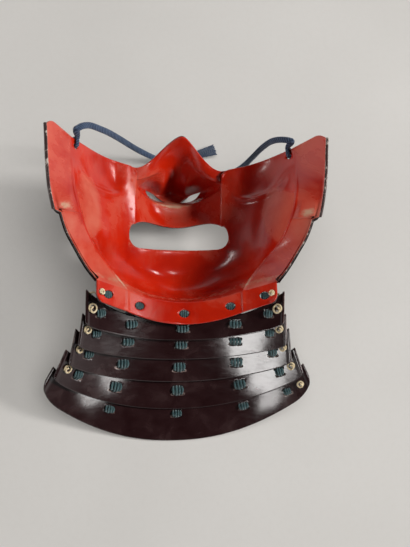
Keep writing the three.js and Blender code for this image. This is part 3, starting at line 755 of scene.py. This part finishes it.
def plain_cheek(across, row):
    """The face, by its distance across and its row.

    Up to 1, x is the share of the crease's x, y goes from the middle to the crease by the share squared,
    and z by the share to the row's own power. From 1 to 2 a straight strip leads on to the rear edge,
    and from 2 to 3 the rim. The wings stand out beyond the jaw above the notch."""
    across, row = spread(across, row)
    reach, side = np.abs(across), np.where(across < 0, -1.0, 1.0)
    middle, crease, rear = through(CENTRE, row), through(CREASE, row), through(REAR, row)
    share = np.minimum(reach, 1)
    face = np.stack([
        share * crease[..., 0],
        mix(middle[..., 0], crease[..., 1], share ** 2),
        mix(middle[..., 1], crease[..., 2], share ** middle[..., 2])], axis=-1)
    wing = 1 - ramp(NOTCH, NOTCH + 0.08, row)
    rear = rear + WING_STEP * wing[..., None] * np.array([1, 0, 0.25])
    strip = np.clip(reach - 1, 0, 1)
    edge = mix(crease, rear, strip[..., None])
    edge[..., 1] -= CORNER * (1 - ramp(0, 0.5, row)) * ramp(0.7, 1, strip) ** 2
    rim = RIM * (0.6 + 0.4 * wing) * (1 - ramp(5.4, FOLD, row)) * np.clip(reach - 2, 0, 1)
    edge += rim[..., None] * np.array([1, 0, 0.1])
    point = np.where(reach[..., None] <= 1, face, edge)
    point[..., 0] *= side
    return point


def cheek(across, row):
    """The face with its rounded seam corners."""
    point = plain_cheek(across, row)
    point[..., 1] -= np.where(np.abs(across) <= 1, seam_corner(np.abs(point[..., 0]), row), 0)
    return point


def mask_surface(across, row):
    """The face down to the fold, and from there the flange that runs out towards the throat guard."""
    across, row = spread(across, row)
    held = np.where(row > FOLD, np.clip(across, -2, 2), across)
    point = cheek(held, np.minimum(row, FOLD))
    out = np.maximum(row - FOLD, 0)
    corner = 2.5 * ramp(0.6, 1, out) ** 2 * ramp(1.8, 2, np.abs(held))
    point[..., 1] -= (FLANGE - 1.8 * (point[..., 0] / 54) ** 2) * out
    point[..., 0] -= np.sign(held) * corner
    point[..., 2] -= 0.6 * out
    return point


def opening_half(row):
    """Half the width of the opening for the nose and mouth: straight seams, then rounded mouth corners."""
    depth = np.clip((row - MOUTH_TOP) * 2 - 1, -1, 1)
    bulge = np.sqrt(np.maximum(1 - depth ** 2, 0)) ** 0.8
    corner = mix(np.where(depth < 0, SEAM, MOUTH_FLOOR_HALF), MOUTH_HALF, bulge)
    return np.where(row <= MOUTH_TOP, SEAM, np.where(row >= MOUTH_BOTTOM, MOUTH_FLOOR_HALF, corner))


def cheek_relief(x, y, reach, row):
    """Heights towards the wearer: a bowl behind each cheekbone with a soft fold round its lower side, a
    long hollow beside the crease, a sharp crease line, a roll along the chin, the swell that ends in the
    ledge of each wing, and the bead of the rolled rim."""
    x = np.abs(x)
    beside = soft(34, 42, x) * (reach <= 1)
    bowl = ((x - BOWL["x"]) / BOWL["wide"]) ** 2 + ((y - BOWL["y"]) / BOWL["long"]) ** 2
    height = -BOWL["deep"] * np.exp(-bowl ** 1.5) * beside
    height += BOWL["fold"] * bump(1.12, 0.15, np.sqrt(bowl)) * soft(36, 26, y) * beside
    hollow = ((x - HOLLOW["x"] + 0.2 * (14 - y)) / HOLLOW["wide"]) ** 2
    hollow += ((y - HOLLOW["y"]) / HOLLOW["long"]) ** 2
    height -= HOLLOW["deep"] * np.exp(-hollow ** 2) * beside
    height += 0.45 * bump(1, 0.022, reach) * soft(0.3, 1.2, row)
    strip = np.clip(reach - 1, 0, 1)
    on_strip = soft(0.02, 0.3, strip) * soft(1.0, 0.85, strip * (reach < 2))
    height += 1.5 * soft(NOTCH - 0.75, NOTCH - 0.02, row) * (row < NOTCH + 0.02) * on_strip
    height += np.where(reach > 2, 0.95 * np.sin(np.pi * np.clip(reach - 2, 0, 1)) ** 0.7, 0)
    return height


def put_mask():
    """The mask plate: cheeks, wings, lower lip, chin and flange in one plate, with its holes cut."""
    mouth = 2.5 - 0.5 * np.cos(np.linspace(0, np.pi, 33))
    notch = NOTCH + np.array([0, 0.02, 0.06, 0.08])
    rows = np.concatenate([stops(0, 44, 2), mouth, notch, stops(3, 62, 6), stops(6, 18, 7)])
    rows = np.unique(np.round(rows, 4))
    half = stops(0, 28, 1, 52, 2, 20, 3, 8, 4)
    column, row = np.meshgrid(mirrored(half), rows)
    c = np.abs(column)
    edge = opening_half(row) / through(CREASE, row)[..., 0]
    reach = np.where(c <= 1, c * edge, np.where(c <= 2, mix(edge, 1, c - 1), c - 1))
    reach = np.where((row > FOLD) & (reach > 2), 2, reach)
    points = mask_surface(reach * np.sign(column), row)
    height = cheek_relief(points[..., 0], points[..., 1], reach, row)
    points = raised(points, height)
    middle_column = np.abs(column[:-1, :-1] + column[:-1, 1:]) / 2
    kept = ~((row[1:, :-1] <= MOUTH_BOTTOM + 1e-6) & (middle_column < 1))
    kept &= ~((row[:-1, :-1] >= 5.9) & (middle_column > 3))
    for x in FLANGE_HOLES:
        cut_hole(points, kept, flange_frame(x), *FLANGE_HOLE_HALF)
    for side in SIDES:
        cut_hole(points, kept, flange_frame(side * EDGE_HOLE_X), *EDGE_HOLE_HALF)
        cut_hole(points, kept, cord_frame(side), CORD_HOLE["radius"], CORD_HOLE["radius"])
    x, y = np.abs(points[..., 0]), points[..., 1]
    wear_and_glint = 0.85 * bump(NOTCH - 0.14, 0.2, row) * bump(1.62, 0.36, reach) * (row < NOTCH + 0.02)
    wear_and_glint += 0.6 * bump(FOLD - 0.5, 0.35, row) * (row < FOLD)
    wear_and_glint += 0.5 * bump(1, 0.02, reach) * soft(2.2, 3.4, row) * (row < FOLD)
    lip = np.hypot(np.maximum(x - MOUTH_HALF, 0), np.maximum(np.abs(row - 2.5) - 0.5, 0) * 16)
    wear_and_glint += 0.45 * bump(0, 1.2, lip) * (row > 2) * (row < 3.2)
    rim = np.where((reach > 2) & (row <= FOLD), ramp(2.0, 2.25, reach), 0)
    # Painted sheen: a pale pink reflection painted along the wing strips, and in an oval beside each crease.
    painted_sheen = 0.6 * soft(1.0, 1.1, reach) * (row < FOLD)
    painted_sheen += 0.95 * soft(1.25, 0.75, np.hypot((x - 60.5) / 8.5, (y - 7) / 21)) * (reach < 1)
    marks = {"wear_and_glint": np.clip(wear_and_glint, 0, 1), "rim": rim, "painted_sheen": np.clip(painted_sheen, 0, 1)}
    shape = shell(points, WALL, kept, marks)
    finish_piece(put_mesh("lacquered_mask", *shape), RED, "mask_plate")


def cord_frame(side):
    """The frame of the cord's hole in a cheek."""
    return frame_on(cheek, side * CORD_HOLE["across"], CORD_HOLE["row"])


def flange_frame(x):
    """The frame of a lacing hole in the flange."""
    reach, rear = through(CREASE, FOLD)[0], through(REAR, FOLD)[0]
    across = min(abs(x) / reach, 1) + max(abs(x) - reach, 0) / (rear - reach)
    return frame_on(mask_surface, across * (-1 if x < 0 else 1), FOLD + 0.52)


put_mask()

# ---- nose piece


def nose_surface(across, station):
    """The nose piece, by its distance across and its station down.

    From 1 to 2 it laps the outside of the cheek. Within, x is the share of the lap's x; z rises from the
    middle as a rounded ridge at the bridge and as a bowl below; y sweeps back by the square of the share,
    and the lip's edge bows."""
    across, station = spread(across, station)
    reach, side = np.abs(across), np.where(across < 0, -1.0, 1.0)
    middle, form = through(NOSE, station), through(NOSE_FORM, station)
    row = np.maximum(middle[..., 2], 0.005)
    x = SEAM + LAP * np.maximum(reach - 1, 0)
    place = frame_on(plain_cheek, x / through(CREASE, row)[..., 0], row)
    lap = place["point"] - (WALL + GAP) * place["up"]
    share = np.minimum(reach, 1)
    curved = (np.hypot(share, RIDGE_BLUNT) - RIDGE_BLUNT) / (math.hypot(1, RIDGE_BLUNT) - RIDGE_BLUNT)
    ridge = 1 - (1 - curved) ** RIDGE_POWER
    rise = mix(ridge, share ** form[..., 1], form[..., 0])
    run = mix(share ** 2 * (3 - 2 * share), share ** 2, form[..., 0])
    bow = form[..., 2] * 4 * share ** 2 * (1 - share ** 2)
    inner = np.stack([
        lap[..., 0] * share, mix(middle[..., 0], lap[..., 1], run) + bow,
        mix(middle[..., 1], lap[..., 2], rise)], axis=-1)
    point = np.where(reach[..., None] >= 1, lap, inner)
    point[..., 0] *= side
    return point


def cut_nostril(points, kept, side):
    """Takes an almond out of the nose's floor, seen from above: half its length to either end, and its
    half-width times one less the square of the share of its length."""
    turn = -side * NOSTRIL["turn"]
    along = np.array([math.cos(turn), math.sin(turn)])
    out = np.array([-along[1], along[0]])
    middle = np.array([side * NOSTRIL["x"], NOSTRIL["y"]])

    def offsets(values):
        step = values[..., :2] - middle
        return step @ along, step @ out

    def half_width(u):
        return NOSTRIL["width"] * (1 - (u / NOSTRIL["half"]) ** 2)

    u, v = offsets(cell_middles(points))
    rows, columns = take_out(kept, (np.abs(v) < half_width(u)) & kept)
    border = points[rows, columns]
    u, v = offsets(border)
    u = np.clip(u, -NOSTRIL["half"], NOSTRIL["half"])
    moved = middle + u[:, None] * along + (np.sign(v) * half_width(u))[:, None] * out
    normal = facing(points)[rows, columns]
    step = moved - border[:, :2]
    lift = -(step * normal[:, :2]).sum(axis=1) / np.maximum(normal[:, 2], 0.3)
    points[rows, columns] = np.concatenate([moved, (border[:, 2] + lift)[:, None]], axis=1)


def put_nose():
    """The nose piece with its nostrils, the ridge along the nose's base and the bands over its wings."""
    stations = np.linspace(0, 8, 150)
    half = stops(0, 70, 1, 10, 2)
    across, station = np.meshgrid(mirrored(half), stations)
    points = nose_surface(across, station)
    reach = np.abs(across)
    height = 0.7 * bump(6.15, 0.22, station + 0.5 * reach ** 2) * soft(1, 0.9, reach)
    wing = bump(2.75, 0.2, station + 0.9 * (1 - reach))
    height += 0.5 * wing * soft(0.35, 0.6, reach) * soft(1, 0.92, reach)
    x = np.abs(points[..., 0])
    height += 2.4 * bump(9, 4.2, x) * bump(3.4, 0.9, station)
    height -= 1.6 * bump(18, 5, x) * bump(4.2, 0.8, station)
    points = raised(points, height)
    kept = np.ones(across[1:, 1:].shape, bool)
    for side in SIDES:
        cut_nostril(points, kept, side)
    wear_and_glint = 0.8 * bump(5.6, 0.8, station) * bump(0, 0.42, reach)
    wear_and_glint += 0.5 * bump(6.1, 0.15, station + 0.5 * reach ** 2) * soft(1, 0.85, reach)
    # Painted sheen: a pale pink reflection painted in the middle of the nose near its base.
    painted_sheen = bump(5.4, 1.2, station) * bump(0, 0.6, reach)
    marks = {"wear_and_glint": np.clip(wear_and_glint, 0, 1), "rim": 0 * reach, "painted_sheen": painted_sheen}
    shape = shell(points, NOSE_WALL, kept, marks)
    finish_piece(put_mesh("lacquered_nose", *shape), RED, "nose_piece")


put_nose()

# ---- rivets


def put_rivet(name, place, node_name):
    """A rivet turned about its axis: low dome inside, shank, and round head outside. A flat lid closes the
    first and the last ring."""
    radius = np.array([0.55, 0.95, 1.2, 1.2, 1.3, 2.0, 2.1, 1.9, 1.3, 0.6])
    height = np.array([0.04, 0.02, -0.1, -3.75, -4.05, -4.1, -4.3, -4.75, -5.05, -5.18])
    sides = 20
    turn = np.linspace(0, 2 * np.pi, sides, endpoint=False)
    across, along = np.outer(radius, np.cos(turn)), np.outer(radius, np.sin(turn))
    rings = at(place, across, along, height[:, None] + 0 * turn)
    index = np.arange(len(radius) * sides).reshape(len(radius), sides)
    ahead = np.roll(index, -1, axis=1)
    quads = np.stack([index[:-1], index[1:], ahead[1:], ahead[:-1]], axis=-1).reshape(-1, 4)
    faces = list(quads) + [index[0], index[-1, ::-1]]
    inside = np.repeat(height > -0.5, sides).astype(float)
    marks = {"inside": inside, "wear_and_glint": 0 * inside, "rim": 0 * inside, "painted_sheen": 0 * inside}
    finish_piece(put_mesh(name, rings.reshape(-1, 3), faces, marks), RED, node_name)


rivet_places = [(side, row) for side in SIDES for row in RIVET_ROWS]
for number, (side, row) in enumerate(rivet_places, 1):
    spot = frame_on(cheek, side * RIVET_X / through(CREASE, row)[0], row)
    put_rivet(f"rivet_{number}", spot, f"nose_rivet_{number}")

# ---- lames


def lame_surface(number):
    """A lame by its distance across, -1 to 1, and its depth down, 0 to 1: x is a share of the half-length,
    y sweeps up towards the ends by one power and z by another. Towards the ends the depth shrinks along
    a quarter circle, which rounds the lower corners."""
    top, foot, top_end, foot_end = LAMES[number]

    def surface(across, down):
        across, down = spread(across, down)
        reach = np.abs(across)
        down = down * (1 - LAME_CORNER[number] * (1 - np.sqrt(1 - ramp(0.86, 1, reach) ** 2)))
        sweep = reach ** mix(TOP_SWEEP, FOOT_SWEEP, np.clip(down, 0, 1))
        x = across * mix(top_end[0], foot_end[0], down)
        y = mix(mix(top[0], foot[0], down), mix(top_end[1], foot_end[1], down), sweep)
        z = mix(mix(top[1], foot[1], down), mix(top_end[2], foot_end[2], down), reach ** LAME_RISE[number])
        return np.stack([x, y, z], axis=-1)

    return surface


def lames_tied(column):
    """The lames whose inside shows a column of lacing. The left end of the lowest one is tied to the lame
    above on its outside, and shows none."""
    return range(len(LAMES) if column > HIDDEN_END else len(LAMES) - 1)


def lace_frame(number, column):
    """Where the lacing of a column crosses a lame."""
    drop = LACE_DROP[number] * float(ramp(0.5, EDGE_COLUMN, abs(column))) ** 2
    return frame_on(lame_surface(number), column, LACE_PLACE[number] + drop)


def put_lame(number):
    """A lame with a shallow bead inside its ends, and two slots for each lace."""
    across, down = np.meshgrid(np.linspace(-1, 1, 251), np.linspace(0, 1, 36))
    points = lame_surface(number)(across, down)
    reach = np.abs(across)
    height = 0.4 * bump(0.986, 0.008, reach)
    points = raised(points, height)
    kept = np.ones(across[1:, 1:].shape, bool)
    wear_and_glint = 0.6 * ramp(0.985, 1, reach) + 0.25 * ramp(0.98, 1, down) + 0.2 * ramp(0.05, 0, down)
    broad, tall = BUNDLE[number]
    slots = [(column, width * broad / 2 + 0.35, LACE_REACH * tall - 0.55, 0.95)
             for column, width in zip(LACE_COLUMNS, LACE_WIDTHS)]
    slots += [(side * EDGE_COLUMN, 1.3, EDGE_REACH - 0.45, 0.75) for side in SIDES]
    for column, wide, offset, long in slots:
        if number not in lames_tied(column):
            continue
        for end in (-1, 1):
            place = lace_frame(number, column)
            place["point"] = at(place, 0, end * offset, 0)
            nearness = cut_hole(points, kept, place, wide, long, 4)
            # Pale ring round the lower slot of each pair: a painted highlight on the slot's edge, carried in
            # the same mark as the worn edges.
            wear_and_glint += (end > 0) * 0.9 * ramp(1.5, 1.1, nearness)
    shape = shell(points, LAME_WALL, kept, {"wear_and_glint": np.clip(wear_and_glint, 0, 1)})
    finish_piece(put_mesh(f"dark_lame_{number + 1}", *shape), DARK, f"lame_{number + 1}")


for number in range(len(LAMES)):
    put_lame(number)

# ---- lacing


def outer_run(column, flange, reach):
    """The line of a lace down the outer faces, from its flange hole to the last lame."""
    depth = -(LAME_WALL + LACE_GAP + LACE_THICK / 2)
    points = [at(flange, 0, 0, -(WALL + GAP) - LACE_THICK / 2)]
    for number in range(len(LAMES)):
        place = lace_frame(number, column)
        edge = dict(place, point=lame_surface(number)(column, 0))
        points += [at(edge, 0, -TURN, depth), at(place, 0, -reach, depth), at(place, 0, reach, depth)]
    return np.array(points)


def put_lacing(name, node_name, column, wide, flange):
    """Teal lacing: four strands run side by side down the outside. On the inside of each lame they show
    between its two slots, each strand in a low arch whose height is the square root of a sine; on the
    flange they fill the hole. The outer strands are shorter and lower and the strands draw together at
    their ends, which rounds the bundle."""
    strand = wide / 4
    across = strand * np.array([-1.5, -0.5, 0.5, 1.5])
    twisted = ridges(0.03, 0.7)
    line = even(outer_run(column, flange, LACE_REACH), 150)
    place = lace_frame(MIDDLE_LAME, column)
    lines = line[None] + across[:, None, None] * place["across"]
    parts = [tubes(lines, place["up"], strand * 0.97, LACE_THICK, 10, relief=twisted)]
    turn = np.linspace(0, np.pi, 26)
    for number in lames_tied(column):
        place = lace_frame(number, column)
        broad, tall = BUNDLE[number]
        wobble = 0.2 * np.sin(across * 3 + number * 1.7)
        share = across[:, None] / (wide / 2)
        long = LACE_REACH * tall * (1 - ARCH["shorter"] * share ** 2) + 0.1 + wobble[:, None]
        along = -np.cos(turn) * long
        height = -ARCH["sink"] + (ARCH["rise"] - ARCH["lower"] * share ** 2) * np.sqrt(np.sin(turn))
        fan = across[:, None] * broad * (0.74 + 0.36 * np.sin(turn) + 0.08 * np.cos(turn))
        arch = at(place, fan, along, height)
        parts.append(tubes(arch, place["up"], strand * broad * 0.88, 1.3, 12, relief=twisted,
                           scale=0.8 + 0.22 * np.sin(turn)))
    button = np.array([-1.9, -0.65, 0.65, 1.9])
    reach = 1.9 * np.sqrt(1 - (button / 3.2) ** 2)[:, None]
    arch = at(flange, button[:, None] + 0 * turn, -np.cos(turn) * reach, -2.6 + 2.0 * np.sqrt(np.sin(turn)))
    parts.append(tubes(arch, flange["up"], 1.25, 1.2, 10))
    put_braid(name, together(parts), TEAL, node_name)


def put_edge_lacing(name, node_name, side, flange):
    """Gold lacing along an end of the lames: one strand down the outside, and on the inside of each lame
    and of the flange a curl, a spiral of a turn and a half whose radius grows to 2.3 and falls to 0.8."""
    column = side * EDGE_COLUMN
    line = even(outer_run(column, flange, EDGE_REACH), 150)
    ridged = ridges(0.12, 1.1)
    parts = [tubes(line[None], lace_frame(MIDDLE_LAME, column)["up"], 1.5, 1.0, 10, relief=ridged)]
    share = np.linspace(0, 1, 60)
    angle = -math.pi / 2 + 2.9 * math.pi * share
    radius = mix(1.5, 2.3, soft(0, 0.3, share)) - 1.5 * soft(0.5, 1, share)
    height = mix(-2.4, 0.6, soft(0, 0.14, share)) + 0.7 * soft(0.45, 1, share)
    places = [flange] + [lace_frame(number, column) for number in lames_tied(column)]
    for place, size in zip(places, CURL_SIZES):
        sweep = -radius * size
        curl = at(place, side * sweep * np.cos(angle), 1.1 * sweep * np.sin(angle), height)
        parts.append(tubes(curl[None], place["up"], 1.2, 1.1, 10, relief=ridged))
    put_braid(name, together(parts), GOLD, node_name)


for number, (column, wide, x) in enumerate(zip(LACE_COLUMNS, LACE_WIDTHS, FLANGE_HOLES), 1):
    put_lacing(f"teal_lacing_{number}", f"lacing_{number}", column, wide, flange_frame(x))
for side, word in ((-1, "left"), (1, "right")):
    put_edge_lacing(f"gold_lacing_{word}", f"edge_lacing_{word}", side, flange_frame(side * EDGE_HOLE_X))

# ---- hitches


def squared(wave):
    """A cosine or sine bent so that its circle becomes a rounded square: its root, with its own sign."""
    return np.sign(wave) * np.abs(wave) ** 0.5


def put_hitch(side, word, route):
    """The cord's own loop through its hole and round the top edge of the cheek, a rounded rectangle, and
    the bight that leads from it to the cord, a cubic with the loop's direction at one end and the cord's
    at the other."""
    place = cord_frame(side)
    edge = frame_on(cheek, side * CORD_HOLE["across"], 0.005)["point"]
    to_edge = np.linalg.norm(edge - place["point"])
    low, high = -(WALL + GAP) - LOOP_OFF[0], GAP + LOOP_OFF[1]
    far = -(to_edge + 2.5 * GAP) - LOOP_OFF[2]
    turn = np.linspace(0, 2 * np.pi, 121)
    along = far / 2 * (1 - squared(np.cos(turn)))
    height = (low + high) / 2 + (high - low) / 2 * squared(np.sin(turn))
    path = at(place, 0 * turn, along, height)
    hint = path - path[:-1].mean(axis=0)
    loop = tubes(path[None], hint[None], 2.7, 1.4, 16, relief=chevrons(0.1, BRAID_PITCH), caps=1)
    route = np.array(route, float)
    ahead = unit(route[1] - route[0])
    start, end = at(place, 0, far + 0.9, high - 0.5), route[0] + 0.8 * ahead
    leave = BIGHT_PULL * unit(place["up"] - 0.9 * place["along"] + 0.25 * np.array([side, 0, 0]))
    t = np.linspace(0, 1, 40)[:, None]
    bight = cubic(start, leave, end, BIGHT_PULL * ahead, t)
    neck = tubes(bight[None], cord_normals(bight)[None], CORD_WIDTH + 0.1, CORD_THICK + 0.1, 24,
                 scale=mix(0.72, 1.0, soft(0, 0.6, t[:, 0])), relief=chevrons(0.07, BRAID_PITCH), caps=2)
    put_braid(f"navy_hitch_{word}", together([loop, neck]), NAVY, f"cord_hitch_{word}")


put_hitch(-1, "left", CORD_LEFT)
put_hitch(1, "right", CORD_RIGHT)

# ---- floor and lights

FLOOR_HALF, FLOOR_Z = 1500, -0.15
LAMP_COLOUR = (1, 0.985, 0.97)
LAMP_AIM = (0, 0.03, 0.03)
NEARLY_Y = (0.01, 1, 0)  # the way a lamp's own up leans, never straight along its beam
FAR_OFF = 1.5


def put_floor():
    """A flat sheet of paper just under the part."""
    ticks = np.linspace(-FLOOR_HALF, FLOOR_HALF, 31)
    across, along = np.meshgrid(ticks, ticks)
    points = np.stack([across, along, FLOOR_Z + 0 * across], axis=-1).reshape(-1, 3)
    index = np.arange(across.size).reshape(across.shape)
    corners = [index[:-1, :-1], index[:-1, 1:], index[1:, 1:], index[1:, :-1]]
    floor = put_mesh("floor", points, np.stack(corners, axis=-1).reshape(-1, 4))
    floor.data.materials.append(paper())
    floor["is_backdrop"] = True
    return floor


def put_light(name, place, size, power):
    """A soft square light that shines on the middle of the part."""
    data = bpy.data.lights.new(name, "AREA")
    data.shape = "SQUARE"
    data.size = size
    data.energy = power
    data.color = LAMP_COLOUR
    light = put_object(name, data)
    back = unit(np.subtract(place, LAMP_AIM))
    stand(light, place, unit(np.cross(NEARLY_Y, back)), back)
    return light


def put_room():
    """A dim room: dark overhead, bright low along the walls."""
    world = bpy.data.worlds.new("room")
    world.use_nodes = True
    tree = world.node_tree
    height = node(tree, "SeparateXYZ", {0: node(tree, "TexCoord").outputs["Generated"]}).outputs[2]
    walls = shades(height, (0.0, (0.8, 0.79, 0.78, 1)), (0.24, (0.75, 0.74, 0.73, 1)),
                   (0.44, (0.10, 0.10, 0.10, 1)), (0.62, (0.015, 0.015, 0.016, 1)))
    tree.links.new(walls, tree.nodes["Background"].inputs[0])
    tree.nodes["Background"].inputs[1].default_value = 1.15
    bpy.context.scene.world = world


def from_side(azimuth, elevation):
    """A place far off, at an angle round the part and an angle above the floor."""
    azimuth, elevation = math.radians(azimuth), math.radians(elevation)
    flat = math.cos(elevation) * FAR_OFF
    return flat * math.cos(azimuth), flat * math.sin(azimuth), math.sin(elevation) * FAR_OFF


def shine_on(light, name, pieces):
    """Lets a light fall on some pieces only."""
    group = bpy.data.collections.new(name)
    for piece in pieces:
        group.objects.link(piece)
    light.light_linking.receiver_collection = group


part = [piece for piece in bpy.data.objects if piece.type == "MESH"]
foot = [piece for piece in part if piece.name == "dark_lame_5"]
guard = [piece for piece in part if piece.name.startswith(("dark_lame", "teal", "gold"))]
upper = [piece for piece in guard if piece not in foot]
red = [piece for piece in part if piece.name.startswith("lacquered")]
floor = put_floor()
put_room()

# Name, place, size, power, the pieces that it lights, and whether it makes their shade or their gloss.
LIGHTS = (
    ("key_on_part", from_side(3, 43), 0.32, 26, part, "diffuse"),
    ("key_on_floor", from_side(3, 43), 0.32, 9, [floor], "diffuse"),
    ("overhead", (0, 0, 2.4), 2.4, 43, [floor], "diffuse"),
    ("low_left", from_side(180, 12), 0.4, 9, part, "diffuse"),
    ("glint", from_side(-2, 45), 0.2, 3.4, red, "glossy"),
    ("left_glint", from_side(178, 31), 0.12, 0.7, red, "glossy"),
    ("lip_glint", from_side(-57, 62), 0.16, 1.6, red, "glossy"),
    ("gloss_left", from_side(-44, 35), 0.34, 3.6, guard, "glossy"),
    ("gloss_right", from_side(-109, 36), 0.34, 5.5, upper, "glossy"),
    ("gloss_foot", from_side(-107, 45), 0.3, 3.0, foot, "glossy"),
)
for name, place, size, power, lit, way in LIGHTS:
    light = put_light(name, place, size, power)
    light.visible_diffuse, light.visible_glossy = way == "diffuse", way == "glossy"
    shine_on(light, name, lit)
bpy.context.scene.view_settings.view_transform = "Standard"

boxes = {"cad": cad_box, "visual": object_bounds()}
boxes = {name: [[float(value) for value in corner] for corner in box] for name, box in boxes.items()}
